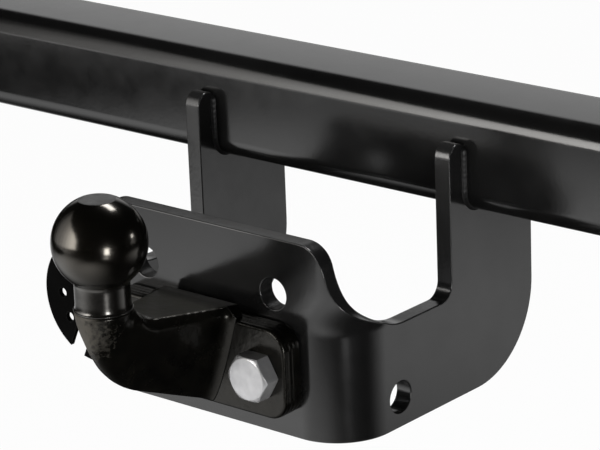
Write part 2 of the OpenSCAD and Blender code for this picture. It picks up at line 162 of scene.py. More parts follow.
# Socket plate
SOCKET_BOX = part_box("socket_plate")
DISC_T = 0.003
DISC_R = 0.03775
DISC_OUT = 0.0513
FOOT_HALF = 0.022
FOOT_CORNER_R = 0.004
FOLD_R = 0.004
SHEET_EDGE = 0.0004
CABLE_HOLE_R = 0.014
SLOT_HALF = 0.0055
SLOT_ANGLE = 246
SCREW_CIRCLE = 0.0242
SCREW_HOLE_R = 0.00275
SCREW_ANGLES = (60, 96, 180, 216, 300, 336)

# Fasteners: thread and pitch, width across flats, heights of head and nut, the washer's outside and thickness
M16 = SimpleNamespace(thread=0.016, pitch=0.0020, flats=0.024, head=0.010, nut=0.0148, washer=0.030,
                      washer_t=0.003)
M12 = SimpleNamespace(thread=0.012, pitch=0.00175, flats=0.018, head=0.0075, nut=0.0108, washer=0.024,
                      washer_t=0.0025)
M10 = SimpleNamespace(thread=0.010, pitch=0.0015, flats=0.016, head=0.0064, nut=0.0084, washer=0.020,
                      washer_t=0.002)
PENNY_WASHER = SimpleNamespace(thread=0.010, washer=0.023, washer_t=0.0025)
BOLT_END = 0.003
BOLT_TIP = 0.0015
SHANK_IN_HEAD = 0.0002
NUT_LEAD = 0.0008
WASHER_GAP = 0.0005
TURNED_FACE = 0.94
HEX_BREAK = 0.0002
THREAD_DEPTH = 0.54
THREAD_FLANK = 1.3
THREAD_STEPS = 10
LATHE_POINTS = 48
METAL_CREASE = 24

# Welds
END_WELD = 0.005
FINGER_WELD = 0.002
CORNER_WELD = 0.0012
WELD_GROWTH = 0.009
FINGER_TOP_GAP = 0.003
BEAD_STEP = 0.0006
BEAD_POINTS = 14
BEAD_BULGE = 0.08
BEAD_BLUNT = 0.04
BEAD_UNEVEN = 1.5
BEAD_UNEVEN_SCALE = 120
BEAD_CREASE = 50
RIPPLE_BOW = 0.0009
RIPPLE_PITCH = 0.0030
END_RIPPLE = 0.00013
CHEEK_RIPPLE = 0.00004

# Cross beam, its ends and the chassis arms
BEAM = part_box("cross_beam")
BEAM_WALL = 0.004
BEAM_R = 0.012
BEAM_EDGE = 0.0004
BEAM_FRONT = BEAM[0].y
BEAM_BOTTOM = BEAM[0].z
BEAM_SIZE = BEAM[1].z - BEAM[0].z
BEAM_MID = (BEAM[0] + BEAM[1]) / 2
SIDE_T = 0.008
END_W = 0.084
END_H = 0.130
END_R = 0.008
END_BOLT_Y = 0.022
END_BOLT_Z = 0.049
SIDE_ARM_L = 0.330
SIDE_ARM_H = 0.080
SIDE_ARM_R = 0.020
SIDE_ARM_INNER_R = 0.003
CHASSIS_HOLES = (0.090, 0.170, 0.250)
CHASSIS_HOLE_R = 0.0065
FINGER_FRONT = BEAM_FRONT - 0.0125
FINGER_TOP = BEAM_BOTTOM + 0.0395

# Camera at the photograph's viewing angle: azimuth, elevation and roll in degrees
CAMERA_ANGLES = (40.783, 18.826, -2.261)
CAMERA_AT = (1.049927, -1.061145, 0.512784)
CAMERA_LENS = 186.54

# Studio: painted pools of light in the floor's glow are (centre, reach, strength) and painted shade on that
# glow is (centre, squeeze in X, core, edge).
# Directions are azimuth and elevation in degrees. Lamps are (name, direction, size, radiance), and window
# strips are (far end in Y, top, radiance), each from the far end of the one before
FLOOR_Z = -0.40
FLOOR_HALF = 30
FLOOR_WHITE = 0.85
FLOOR_GLOW = 0.97
FLOOR_PAINTED_LIGHT = (((-0.55, -0.48), 0.95, 1.60), ((-1.70, -1.70), 1.50, 1.2), ((0.72, 0.84), 0.73, 1.0),
               ((-0.90, 0.75), 1.00, 0.9), ((0.17, -0.45), 0.45, 0.9), ((1.00, -0.62), 0.22, 8.0))
FLOOR_PAINTED_SHADE = (((-0.20, 0.32), 0.5, 0.16, 0.46), ((-1.52, -0.73), 1.0, 0.45, 0.62))
WALL_AT = (131, 12)
WALL_EDGE = (0.90, 0.965)
WALL_GLOW = 0.70
WORLD_DIM = 0.01
LAMP_AWAY = 1.8
LAMPS = (("top softbox", (97, 60), (0.70, 0.35), 20), ("front lamp", (330, -4.5), (0.32, 0.45), 28),
         ("right lamp", (41, 9), (0.15, 0.15), 24))
WINDOW_X = -0.60
WINDOW_LOW = -0.08
WINDOW_COLOR = (1, 0.98, 0.95)
WINDOW_NEAR = 0.0
WINDOW_STRIPS = ((-0.10, 0.50, 0.15), (-0.20, 0.51, 0.6), (-0.35, 0.52, 1.1), (-0.50, 0.54, 1.9),
                 (-0.70, 0.57, 3.2), (-0.95, 0.62, 5.4), (-1.20, 0.67, 7.4), (-2.60, 0.75, 8.8))


def radians(*angles):
    return [math.radians(a) for a in angles]


def shares(count):
    """Even shares from 0 to 1."""
    return [k / count for k in range(count + 1)]


def arc(centre, radius, start, end, step=4):
    """Points on an arc between two angles in degrees, in drawing order."""
    count = max(2, math.ceil(abs(end - start) / step))
    angles = [math.radians(start + (end - start) * i / count) for i in range(count + 1)]
    return [Vector((centre[0] + radius * math.cos(a), centre[1] + radius * math.sin(a))) for a in angles]


def circle_hole(x, y, radius, step=5):
    """A round hole: clockwise, so that its normals point into the hole."""
    return arc((x, y), radius, 360, 0, step)[:-1]


def rounded(corners, step=6):
    """Closed outline through corners (x, y, radius), each rounded to its radius."""
    points = []
    for i, (x, y, radius) in enumerate(corners):
        here = Vector((x, y))
        back = (Vector(corners[i - 1][:2]) - here).normalized()
        ahead = (Vector(corners[(i + 1) % len(corners)][:2]) - here).normalized()
        half = back.angle(ahead) / 2
        centre = here + (back + ahead).normalized() * radius / math.sin(half)
        first = here + back * radius / math.tan(half) - centre
        turn = math.pi - 2 * half
        if back.x * ahead.y - back.y * ahead.x > 0:
            turn = -turn
        count = max(2, math.ceil(math.degrees(abs(turn)) / step))
        points += [centre + Matrix.Rotation(turn * k / count, 2) @ first for k in range(count + 1)]
    return points


def rounded_rectangle(middle, width, height, radius, step=6):
    """Outline of a rectangle with rounded corners."""
    a, b = width / 2, height / 2
    return rounded([(middle[0] + x, middle[1] + y, radius) for x, y in ((-a, -b), (a, -b), (a, b), (-a, b))],
                   step)


def outward(points):
    """Outward normal at each point of a closed outline that runs anticlockwise."""
    normals = []
    for i, point in enumerate(points):
        sides = [point - points[i - 1], points[(i + 1) % len(points)] - point]
        flat = [Vector((s.y, -s.x)).normalized() for s in sides if s.length > 1e-7]
        normals.append(sum(flat, Vector((0, 0))).normalized())
    return normals


def sweep(bm, edges, stations, place):
    """Extrudes a loop of edges once for each station, where place gives each point and its normal."""
    index = bm.verts.layers.int["index"]
    normal = bm.verts.layers.float_vector["normal"]
    walls = []
    for station in stations:
        made = bmesh.ops.extrude_edge_only(bm, edges=edges)["geom"]
        for vert in (g for g in made if isinstance(g, bmesh.types.BMVert)):
            vert.co, vert[normal] = place(vert[index], station)
        walls += [g for g in made if isinstance(g, bmesh.types.BMFace)]
        edges = [g for g in made if isinstance(g, bmesh.types.BMEdge)
                 and all(v in made for v in g.verts)]
    return edges, walls


def start_loop(bm, count, place, station):
    """A closed loop of count points, each of which keeps its index and its normal."""
    index = bm.verts.layers.int.get("index") or bm.verts.layers.int.new("index")
    normal = bm.verts.layers.float_vector.get("normal") or bm.verts.layers.float_vector.new("normal")
    verts = [bm.verts.new() for _ in range(count)]
    for i, vert in enumerate(verts):
        vert[index] = i
        vert.co, vert[normal] = place(i, station)
    return [bm.edges.new((verts[i - 1], verts[i])) for i in range(count)]


def ridge(middle, height, half):
    """Stations over a low ridge on a wall: height in Z, how far it stands out, and the tilt of its normal."""
    turns = [math.pi * k / 4 for k in range(-4, 5)]
    return [(middle + half * a / math.pi, height * (1 + math.cos(a)) / 2,
             math.atan(height * math.pi / 2 / half * math.sin(a))) for a in turns]


def cut_plate(outline, holes, thickness, edge, steps=3, ridges=()):
    """A plate cut to an outline in XY and centred in Z, with its cut edges rounded off."""
    bm = bmesh.new()
    rounding = []
    for side in (-1, 1):
        for k in range(steps + 1):
            a = math.pi / 2 * (k / steps + (side - 1) / 2)
            rounding.append((side * (thickness / 2 - edge) + edge * math.sin(a), edge * (math.cos(a) - 1), a))
    caps = {-1: [], 1: []}
    for loop in [outline] + holes:
        normals = outward(loop)
        stations = rounding if loop is not outline else sorted(rounding + list(ridges))

        def place(i, station):
            z, out, a = station
            flat = loop[i] + normals[i] * out
            return (flat.x, flat.y, z), (math.cos(a) * normals[i].x, math.cos(a) * normals[i].y, math.sin(a))

        first = start_loop(bm, len(loop), place, stations[0])
        caps[-1] += first
        last, walls = sweep(bm, first, stations[1:], place)
        caps[1] += last
        for face in walls:
            face.material_index = 1
    for side, edges in caps.items():
        bmesh.ops.triangle_fill(bm, use_beauty=True, use_dissolve=False, edges=edges, normal=(0, 0, side))
    bmesh.ops.recalc_face_normals(bm, faces=bm.faces)
    return bm


def slice_mesh(bm, axis, places):
    """Cuts a mesh across one axis at each place."""
    normal = Vector((0, 0, 0))
    normal[axis] = 1
    for place in places:
        bmesh.ops.bisect_plane(bm, geom=bm.verts[:] + bm.edges[:] + bm.faces[:], dist=1e-7,
                               plane_co=normal * place, plane_no=normal)


def reshape(bm, move):
    """Moves every point by a function, and turns its normal with the surface."""
    normal = bm.verts.layers.float_vector["normal"]
    step = 1e-5
    for vert in bm.verts:
        old = vert.co.copy()
        new = move(old)
        columns = [(move(old + Vector(axis) * step) - new) / step for axis in Matrix.Identity(3)]
        turn = Matrix(columns).transposed()
        vert[normal] = (turn.inverted_safe().transposed() @ Vector(vert[normal])).normalized()
        vert.co = new


def onto_yz(bm, x):
    """Stands a drawing of Y and Z up as a plate whose middle lies at x."""
    reshape(bm, lambda p: Vector((x + p.z, p.x, p.y)))


def onto_xz(bm, y):
    """Stands a drawing of X and Z up as a plate whose middle lies at y, its upper side to the front."""
    reshape(bm, lambda p: Vector((p.x, y - p.z, p.y)))


def evenly(points, spacing):
    """Points at an even spacing along a closed outline, and that spacing."""
    sides = [points[(i + 1) % len(points)] - p for i, p in enumerate(points)]
    length = sum(s.length for s in sides)
    count = round(length / spacing)
    made, side, passed = [], 0, 0.0
    for k in range(count):
        at = length * k / count
        while passed + sides[side].length < at:
            passed += sides[side].length
            side += 1
        made.append(points[side] + sides[side].normalized() * (at - passed))
    return made, length / count


def close_ends(bm, *loops):
    for edges in loops:
        bmesh.ops.edgeloop_fill(bm, edges=edges)


def sharpen(bm, angle):
    """Keeps the shading hard across edges that turn by more than an angle."""
    for edge in bm.edges:
        edge.smooth = edge.calc_face_angle(0) < math.radians(angle)


def link_object(name, data):
    made = bpy.data.objects.new(name, data)
    bpy.context.scene.collection.objects.link(made)
    return made


def to_object(bm, name, materials, own_normals=False):
    """Makes the object of a finished bmesh, smooth, with its own normals where it carries them.

    A single material covers the cut edges too."""
    mesh = bpy.data.meshes.new(name)
    for face in bm.faces:
        face.smooth = True
        face.material_index = min(face.material_index, len(materials) - 1)
    if own_normals:
        layer = bm.verts.layers.float_vector["normal"]
        normals = [tuple(v[layer]) for v in bm.verts]
    bm.to_mesh(mesh)
    bm.free()
    if own_normals:
        mesh.normals_split_custom_set_from_vertices(normals)
        mesh.attributes.remove(mesh.attributes["normal"])
        mesh.attributes.remove(mesh.attributes["index"])
    for material in materials:
        mesh.materials.append(material)
    return link_object(name, mesh)


def stand_for(piece, slot, *nodes):
    """The piece rides on the towbar and stands for CAD nodes, which it hides. The slot is not used."""
    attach(piece, "root")
    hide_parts(*nodes)


# Materials

def new_group(name, inputs, outputs):
    """A shader node group with named sockets: (name, socket type, default)."""
    tree = bpy.data.node_groups.new(name, "ShaderNodeTree")
    for label, kind, default in inputs:
        socket = tree.interface.new_socket(label, in_out="INPUT", socket_type=kind)
        if default is not None:
            socket.default_value = default
    for label, kind in outputs:
        tree.interface.new_socket(label, in_out="OUTPUT", socket_type=kind)
    return tree, tree.nodes.new("NodeGroupInput"), tree.nodes.new("NodeGroupOutput")


def node(tree, kind, values=None, **settings):
    """Adds a node, with its settings and the values of its sockets."""
    made = tree.nodes.new(kind)
    for key, value in settings.items():
        setattr(made, key, value)
    for key, value in (values or {}).items():
        if isinstance(value, bpy.types.NodeSocket):
            tree.links.new(value, made.inputs[key])
        else:
            made.inputs[key].default_value = value
    return made


def math_node(tree, operation, a, b):
    return node(tree, "ShaderNodeMath", {0: a, 1: b}, operation=operation).outputs[0]


def span(tree, value, low, high, to_low, to_high, **settings):
    """Maps a value from one span to another, and holds it inside."""
    made = node(tree, "ShaderNodeMapRange", {"Value": value, "From Min": low, "From Max": high,
                                             "To Min": to_low, "To Max": to_high}, **settings)
    return made.outputs["Result"]


def mixed(tree, share, first, second):
    """The first colour, with a share of the second."""
    made = node(tree, "ShaderNodeMix", {"Factor": share, 6: first, 7: second}, data_type="RGBA")
    return made.outputs[2]


def distance(tree, point, centre):
    made = node(tree, "ShaderNodeVectorMath", {0: point, 1: centre}, operation="DISTANCE")
    return made.outputs["Value"]


def spots(tree, point, scale, detail, roughness=0.5):
    """Soft random spots from 0 to 1."""
    return node(tree, "ShaderNodeTexNoise", {"Vector": point, "Scale": scale, "Detail": detail,
                                             "Roughness": roughness}).outputs["Fac"]


def clouds(tree, point, scale, detail, low, high, roughness=0.5):
    """Soft random clouds between two values."""
    return span(tree, spots(tree, point, scale, detail, roughness), 0.3, 0.7, low, high)


def edge_wear_group():
    """Mask of the convex edges of a piece: 1 where paint is thin and 0 on its faces."""
    tree, given, result = new_group(
        "edge wear", [("Point", "NodeSocketVector", None), ("Width", "NodeSocketFloat", 0.0012),
                      ("Patchiness", "NodeSocketFloat", 0.5)], [("Mask", "NodeSocketFloat")])
    bevel = node(tree, "ShaderNodeBevel", {"Radius": given.outputs["Width"]}, samples=4)
    plain = node(tree, "ShaderNodeNewGeometry")
    dot = node(tree, "ShaderNodeVectorMath", {0: bevel.outputs[0], 1: plain.outputs["Normal"]},
               operation="DOT_PRODUCT").outputs["Value"]
    edge = span(tree, dot, *WEAR_COSINES, 0.0, 1.0)
    patch = span(tree, spots(tree, given.outputs["Point"], 220, 3), 0.35, 0.65, 0.0, 1.0)
    kept = math_node(tree, "SUBTRACT", 1.0, math_node(tree, "MULTIPLY", patch, given.outputs["Patchiness"]))
    tree.links.new(math_node(tree, "MULTIPLY", edge, kept), result.inputs["Mask"])
    return tree


def coat_group():
    """Sprayed coat: cloudy tone, cloudy gloss and a fine orange peel."""
    tree, given, result = new_group(
        "sprayed coat",
        [("Point", "NodeSocketVector", None), ("Dark", "NodeSocketColor", (0.01, 0.01, 0.01, 1)),
         ("Light", "NodeSocketColor", (0.02, 0.02, 0.02, 1)), ("Cloud Scale", "NodeSocketFloat", 14.0),
         ("Gloss Low", "NodeSocketFloat", 0.2), ("Gloss High", "NodeSocketFloat", 0.3),
         ("Peel Scale", "NodeSocketFloat", 450.0), ("Peel", "NodeSocketFloat", 0.04)],
        [("Color", "NodeSocketColor"), ("Roughness", "NodeSocketFloat"), ("Normal", "NodeSocketVector")])
    point = given.outputs["Point"]
    cloud = clouds(tree, point, given.outputs["Cloud Scale"], 4, 0.0, 1.0)
    tone = mixed(tree, cloud, given.outputs["Dark"], given.outputs["Light"])
    gloss = clouds(tree, point, 60, 5, given.outputs["Gloss Low"], given.outputs["Gloss High"], 0.6)
    peel = spots(tree, point, given.outputs["Peel Scale"], 2)
    bump = node(tree, "ShaderNodeBump", {"Strength": given.outputs["Peel"], "Distance": 0.0005,
                                         "Height": peel})
    tree.links.new(tone, result.inputs["Color"])
    tree.links.new(gloss, result.inputs["Roughness"])
    tree.links.new(bump.outputs["Normal"], result.inputs["Normal"])
    return tree


EDGE_WEAR = edge_wear_group()
COAT = coat_group()


def grey(value):
    return (value, value, value)


def coated(name, dark, light, gloss, peel=0.04, wear=0.05, cloud=14.0, specular=0.5, peel_scale=450.0,
           tint=(1, 1, 1)):
    """A painted or dipped metal finish, rubbed half through on its sharp edges."""
    material = bpy.data.materials.new(name)
    material.use_nodes = True
    tree = material.node_tree
    shader = tree.nodes["Principled BSDF"]
    shader.inputs["Specular IOR Level"].default_value = specular
    shader.inputs["Specular Tint"].default_value = (*tint, 1)
    point = node(tree, "ShaderNodeTexCoord").outputs["Object"]
    coat = node(tree, "ShaderNodeGroup", {
        "Point": point, "Dark": (*dark, 1), "Light": (*light, 1), "Cloud Scale": cloud,
        "Gloss Low": gloss[0], "Gloss High": gloss[1], "Peel Scale": peel_scale, "Peel": peel},
        node_tree=COAT)
    edges = node(tree, "ShaderNodeGroup", {"Point": point}, node_tree=EDGE_WEAR)
    half_worn = math_node(tree, "MULTIPLY", edges.outputs["Mask"], 0.5)
    worn = mixed(tree, half_worn, coat.outputs["Color"], (*grey(wear), 1))
    tree.links.new(worn, shader.inputs["Base Color"])
    tree.links.new(coat.outputs["Roughness"], shader.inputs["Roughness"])
    tree.links.new(coat.outputs["Normal"], shader.inputs["Normal"])
    return material


def zinc_plate():
    """Bright zinc: grey metal with cloudy spangle, rubbed edges and small dents."""
    material = coated("bright zinc", (0.45, 0.45, 0.46), (0.56, 0.56, 0.57), (0.30, 0.42), peel=0.2,
                      wear=0.85, cloud=180.0, peel_scale=700.0)
    material.node_tree.nodes["Principled BSDF"].inputs["Metallic"].default_value = 0.65
    return material


def add_scale_and_painted_sheen(material, centre, fading, color, roughness):
    """Leaves dull forging scale round a place, with a broken edge, lighter than the dip as a painted sheen
    where the window's light falls.
    """
    tree = material.node_tree
    shader = tree.nodes["Principled BSDF"]
    point = node(tree, "ShaderNodeTexCoord").outputs["Object"]
    broken = clouds(tree, point, 380, 4, -SCALE_AND_SHEEN_BROKEN, SCALE_AND_SHEEN_BROKEN, 0.7)
    mask = span(tree, math_node(tree, "ADD", distance(tree, point, centre), broken), *fading, 1.0, 0.0)
    tone = mixed(tree, mask, shader.inputs["Base Color"].links[0].from_socket, (*color, 1))
    rough = node(tree, "ShaderNodeMix", {"Factor": mask, 2: shader.inputs["Roughness"].links[0].from_socket,
                                         3: roughness})
    tree.links.new(tone, shader.inputs["Base Color"])
    tree.links.new(rough.outputs[0], shader.inputs["Roughness"])


SATIN_PAINT = coated("satin black paint", grey(0.006), grey(0.010), (0.14, 0.20), specular=0.6)
CUT_PAINT = coated("paint on cut edges", grey(0.009), grey(0.018), (0.18, 0.26), peel=0.12, specular=0.8)
TUBE_PAINT = coated("paint on the tube", grey(0.004), grey(0.007), (0.14, 0.20), specular=0.65)
# Welds: rough paint, painted darker as the shade in the corners where they lie
WELD_PAINT_AND_SHADE = coated("paint on welds, painted darker as shade", grey(0.003), grey(0.007), (0.35, 0.5), peel=0.2, specular=0.25)
SOCKET_PAINT = coated("flat black paint", grey(0.0005), grey(0.0015), (0.5, 0.62), specular=0.03)
FORGED = coated("dipped forging", (0.001, 0.001, 0.0008), (0.004, 0.0037, 0.0028), (0.18, 0.32), peel=0.3,
                cloud=110.0, peel_scale=330.0, specular=0.28, tint=(1, 0.96, 0.88))
# Painted sheen: the scale patch below the neck is light where the window's light falls on it
add_scale_and_painted_sheen(FORGED, SCALE_AND_SHEEN_AT, SCALE_AND_SHEEN_FADE, (0.060, 0.055, 0.047), SCALE_AND_SHEEN_ROUGHNESS)
# The arm's up-facing flat: a duller dip, painted lighter as if lit from above
FORGED_FLAT_PAINTED_LIGHT = coated("dull dip on the flat, painted lighter from above", (0.004, 0.0039, 0.0028), (0.009, 0.0088, 0.0062), (0.44, 0.56),
                     peel=0.15, cloud=60.0, peel_scale=330.0, specular=0.2, tint=(1, 0.97, 0.84))
WORN_TOP = coated("worn ball top", grey(0.02), (0.06, 0.06, 0.059), (0.3, 0.5), peel=0.3, wear=0.2,
                  cloud=300.0, peel_scale=900.0, specular=0.35)
TURNED = coated("dipped turning", (0.001, 0.0009, 0.0007), (0.003, 0.0027, 0.002), (0.13, 0.19), peel=0.02,
                specular=0.6, tint=(1, 0.93, 0.82))
TURNED_NECK = coated("dipped neck", (0.002, 0.0018, 0.0014), (0.004, 0.0038, 0.0032), (0.18, 0.24), peel=0.06,
                     specular=0.9, tint=(1, 0.97, 0.92))
ZINC = zinc_plate()


# Ball bracket

def unrolled(y):
    """Distance along the flat pattern of a place on the cheek."""
    return y - FACE_Y - 2 * BEND_R + CHEEK_X + BEND_MID * math.pi / 2


def smooth(value, low, high):
    """A soft step from 0 at low to 1 at high."""
    t = min(1, max(0, (value - low) / (high - low)))
    return t ** 3 * (t * (6 * t - 15) + 10)


def bend_shape(s, z):
    """Where the bend starts along the flat pattern, and its outer radius."""
    past_end = abs(s) - unrolled(FACE_Y + BEND_R)
    t = smooth(z - VALLEY_Z, *EAR_BEND_HEIGHTS) * (1 - smooth(past_end, *EAR_BEND_FADE))
    return CHEEK_X - BEND_R + EAR_BEND_SHIFT * t, BEND_R + (EAR_BEND_R - BEND_R) * t


def bent(point):
    """A point of the flat pattern (s, z, height from its middle) on the bent plate."""
    s, z, height = point
    side = 1 if s >= 0 else -1
    start, radius = bend_shape(s, z)
    mid = radius - PLATE_T / 2
    depth = PLATE_T / 2 - height
    a = (abs(s) - start) / mid
    if a <= 0:
        return Vector((s, FACE_Y + depth, z))
    if a <= math.pi / 2:
        inner = radius - depth
        return Vector((side * (start + inner * math.sin(a)), FACE_Y + radius - inner * math.cos(a), z))
    return Vector((side * (start + radius - depth), FACE_Y + radius + (a - math.pi / 2) * mid, z))


def bracket_outline():
    """Half of the flat pattern, from its top round the ear, the valley, the finger and the cheek."""
    ear, foot = radians(EAR_ANGLE, FOOT_ANGLE)
    ear_half = CHEEK_X - EAR_INSET
    ear_end = ear_half + EAR_R * math.sin(ear)
    ear_end_z = PLATE_TOP - EAR_R * (1 - math.cos(ear))
    foot_z = VALLEY_Z + VALLEY_R * (1 - math.cos(foot))
    flank_z = foot_z + FOOT_R * (math.cos(foot) - math.cos(ear))
    flank_end = ear_end + (ear_end_z - flank_z) / math.tan(ear)
    foot_mid = flank_end + FOOT_R * math.sin(ear)
    valley_end = foot_mid - FOOT_R * math.sin(foot) + VALLEY_R * math.sin(foot)
    front, beam, back = (unrolled(y) for y in (FINGER_FRONT, BEAM_FRONT, BEAM[1].y - CHEEK_BACK_GAP))
    finger_end = math.degrees(math.acos((beam - front - FINGER_R) / FINGER_R))
    half = arc((ear_half, PLATE_TOP - EAR_R), EAR_R, 90, 90 - EAR_ANGLE)
    half += arc((foot_mid, foot_z + FOOT_R * math.cos(foot)), FOOT_R, 270 - EAR_ANGLE, 270 - FOOT_ANGLE)
    half += arc((valley_end, VALLEY_Z + VALLEY_R), VALLEY_R, 270 - FOOT_ANGLE, 270)[1:]
    half += arc((front - CROTCH_R, VALLEY_Z + CROTCH_R), CROTCH_R, -90, 0)
    half += arc((front + FINGER_R, FINGER_TOP - FINGER_R), FINGER_R, 180, finger_end)
    half += arc((beam + BEAM_R, BEAM_BOTTOM + BEAM_R), BEAM_R, 180, 270, 6)
    half += [Vector((back, BEAM_BOTTOM))]
    half += arc((back - CHEEK_R, PLATE_BOTTOM + CHEEK_R), CHEEK_R, 0, -90)
    return half


def build_bracket():
    """The bracket: cut flat with its holes, then bent through both corners."""
    half = bracket_outline()
    outline = half[::-1] + [Vector((-p.x, p.y)) for p in half]
    holes = [circle_hole(side * HOLE_PITCH / 2, z, HOLE_R) for side in (-1, 1)
             for z in (ROW_Z, ROW_Z + ROW_PITCH)]
    holes += [circle_hole(side * unrolled(CHEEK_HOLE[0]), CHEEK_HOLE[1], HOLE_R) for side in (-1, 1)]
    bm = cut_plate(outline, holes, PLATE_T, CUT_EDGE)
    bend_start, bend_end = CHEEK_X - BEND_R, CHEEK_X - BEND_R + BEND_MID * math.pi / 2
    cuts = [bend_start + (bend_end - bend_start) * i / BEND_COLUMNS
            for i in range(BEND_COLUMNS + COLUMNS_PAST_BEND + 1)]
    slice_mesh(bm, 0, [-c for c in cuts] + cuts)
    low, high = (VALLEY_Z + height for height in EAR_BEND_HEIGHTS)
    slice_mesh(bm, 1, [low + (high - low) * i / BEND_ROWS for i in range(BEND_ROWS + 1)])
    reshape(bm, bent)
    piece = to_object(bm, "bent_bracket", [SATIN_PAINT, CUT_PAINT], own_normals=True)
    stand_for(piece, "bracket_paint", "ball_bracket")


build_bracket()


# Cross beam and its ends

def tube_outline(inset):
    size = BEAM_SIZE - 2 * inset
    return rounded_rectangle(BEAM_MID.yz, size, size, BEAM_R - inset)


def build_beam():
    """The square tube, open at its ends, which the end plates close."""
    bm = cut_plate(tube_outline(0), [tube_outline(BEAM_WALL)[::-1]], BEAM[1].x - BEAM[0].x, BEAM_EDGE)
    onto_yz(bm, 0)
    stand_for(to_object(bm, "square_beam", [TUBE_PAINT], own_normals=True), "beam_paint", "cross_beam")


def end_bolt_places():
    """Y and Z of the four bolts at each end."""
    return [(BEAM_MID.y + y, BEAM_MID.z + z) for y in (-END_BOLT_Y, END_BOLT_Y)
            for z in (-END_BOLT_Z, END_BOLT_Z)]


def build_end_plate(side, name):
    """The plate across one end of the beam."""
    holes = [circle_hole(y, z, CHASSIS_HOLE_R) for y, z in end_bolt_places()]
    bm = cut_plate(rounded_rectangle(BEAM_MID.yz, END_W, END_H, END_R), holes, SIDE_T, CUT_EDGE)
    onto_yz(bm, side * (BEAM[1].x + SIDE_T / 2))
    piece = to_object(bm, f"welded_end_plate_{name}", [SATIN_PAINT, CUT_PAINT], own_normals=True)
    stand_for(piece, "beam_paint", f"end_plate_{name}")


def build_side_arm(side, name):
    """An arm along the chassis: an L cut from plate, with the holes of its end plate and of the chassis."""
    front, bottom, top = BEAM_MID.y - END_W / 2, BEAM_MID.z - END_H / 2, BEAM_MID.z + END_H / 2
    step, back, under = BEAM_MID.y + END_W / 2, front + SIDE_ARM_L, top - SIDE_ARM_H
    outline = rounded([(front, bottom, END_R), (step, bottom, END_R), (step, under, SIDE_ARM_INNER_R),
                       (back, under, SIDE_ARM_R), (back, top, SIDE_ARM_R), (front, top, END_R)])
    holes = [circle_hole(y, z, CHASSIS_HOLE_R) for y, z in end_bolt_places()]
    holes += [circle_hole(BEAM_MID.y + y, top - SIDE_ARM_H / 2, CHASSIS_HOLE_R) for y in CHASSIS_HOLES]
    bm = cut_plate(outline, holes, SIDE_T, CUT_EDGE)
    onto_yz(bm, side * (BEAM[1].x + SIDE_T * 1.5))
    piece = to_object(bm, f"chassis_arm_{name}", [SATIN_PAINT, CUT_PAINT], own_normals=True)
    stand_for(piece, "beam_paint", f"side_arm_{name}")


build_beam()
for side, side_name in SIDES:
    build_end_plate(side, side_name)
    build_side_arm(side, side_name)


# Weld beads

def bead(size, s, u, seed, ripple):
    """Place on a bead's face: u runs from one leg to the other, s along the bead."""
    bow = math.sin(math.pi * u)
    wave = math.sin(2 * math.pi * (s + RIPPLE_BOW * (1 - bow)) / RIPPLE_PITCH)
    uneven = noise.noise(Vector((s * BEAD_UNEVEN_SCALE, u, seed)))
    out = (size * BEAD_BULGE + ripple * (wave + BEAD_UNEVEN * uneven)) * bow
    return Vector((size * u + out, size * (1 - u) + out))


def build_end_weld(side, name):
    """A bead all round the end of the beam, in the corner of its end plate."""
    path, spacing = evenly(tube_outline(0), BEAD_STEP)
    normals = outward(path)
    across, in_corner = shares(8), -1

    def place(i, u):
        leg, back = (0, 0) if u == in_corner else bead(END_WELD, i * spacing, u, side, END_RIPPLE)
        flat = path[i] + normals[i] * leg
        return (side * (BEAM[1].x - back), flat.x, flat.y), (0, 0, 1)

    bm = bmesh.new()
    first = start_loop(bm, len(path), place, across[0])
    sweep(bm, first, across[1:] + [in_corner, across[0]], place)
    bmesh.ops.remove_doubles(bm, verts=bm.verts, dist=1e-7)
    bmesh.ops.recalc_face_normals(bm, faces=bm.faces)
    sharpen(bm, BEAD_CREASE)
    stand_for(to_object(bm, f"end_bead_{name}", [WELD_PAINT_AND_SHADE]), "weld_paint", f"end_weld_{name}")


def bead_path():
    """Stations of the bead round the tube: its place in Y and Z, the way out of the tube, length and size."""
    down = FINGER_TOP - FINGER_TOP_GAP - BEAM_BOTTOM - BEAM_R
    round_corner = BEAM_R * math.pi / 2
    length = down + round_corner + BEAM_SIZE - 2 * BEAM_R
    corner_mid = Vector((BEAM_FRONT + BEAM_R, BEAM_BOTTOM + BEAM_R))
    count = round(length / BEAD_STEP)
    stations = []
    for k in range(count + 1):
        s = length * k / count
        turn = min(1, max(0, (s - down) / round_corner))
        a = math.pi + turn * math.pi / 2
        out = Vector((math.cos(a), math.sin(a)))
        at = corner_mid + out * BEAM_R + Vector((max(0, s - down - round_corner), max(0, down - s)))
        under = min(1, max(0, (s - down - round_corner) / WELD_GROWTH))
        size = FINGER_WELD + (CORNER_WELD - FINGER_WELD) * turn + (END_WELD - CORNER_WELD) * under
        taper = math.sqrt(min(1, min(s, length - s) / size + BEAD_BLUNT))
        stations.append((at, out, s, size * taper))
    return stations


